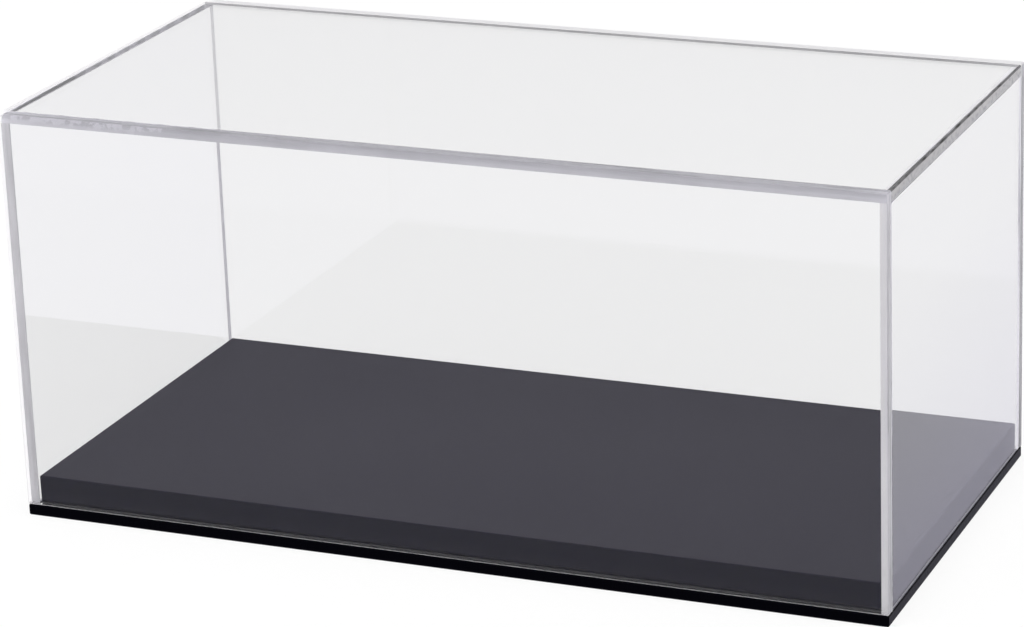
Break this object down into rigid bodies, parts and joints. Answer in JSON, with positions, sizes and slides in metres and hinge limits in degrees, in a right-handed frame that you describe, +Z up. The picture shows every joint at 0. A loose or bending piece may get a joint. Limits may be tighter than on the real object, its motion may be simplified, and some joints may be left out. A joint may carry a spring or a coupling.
{
  "type": "display case",
  "caption": "Rectangular clear acrylic display case: a lift-off cover of five bonded clear sheets stands on a stepped black base.",
  "frame": {"origin": "centre of the base plate's underside, which rests on the table", "axes": "+X along the width to the right, +Y from front to back, +Z up"},
  "size_m": [0.24, 0.12, 0.1115],
  "materials": {
    "clear_acrylic": "clear polished cast acrylic sheet",
    "cement": "cured clear acrylic cement with small bubbles",
    "black_acrylic": "satin black cast acrylic sheet"
  },
  "bodies": {
    "base": {"base_plate": "black_acrylic", "deck": "black_acrylic", "deck_bond": "cement"},
    "cover": {"front_panel": "clear_acrylic", "back_panel": "clear_acrylic", "left_panel": "clear_acrylic", "right_panel": "clear_acrylic", "top_panel": "clear_acrylic", "front_bond": "cement", "back_bond": "cement", "left_bond": "cement", "right_bond": "cement"}
  },
  "joints": [
    {"name": "cover_lift", "type": "slide", "parent": "base", "child": "cover", "axis": [0, 0, 1], "range_m": [0, 0.12]}
  ]
}
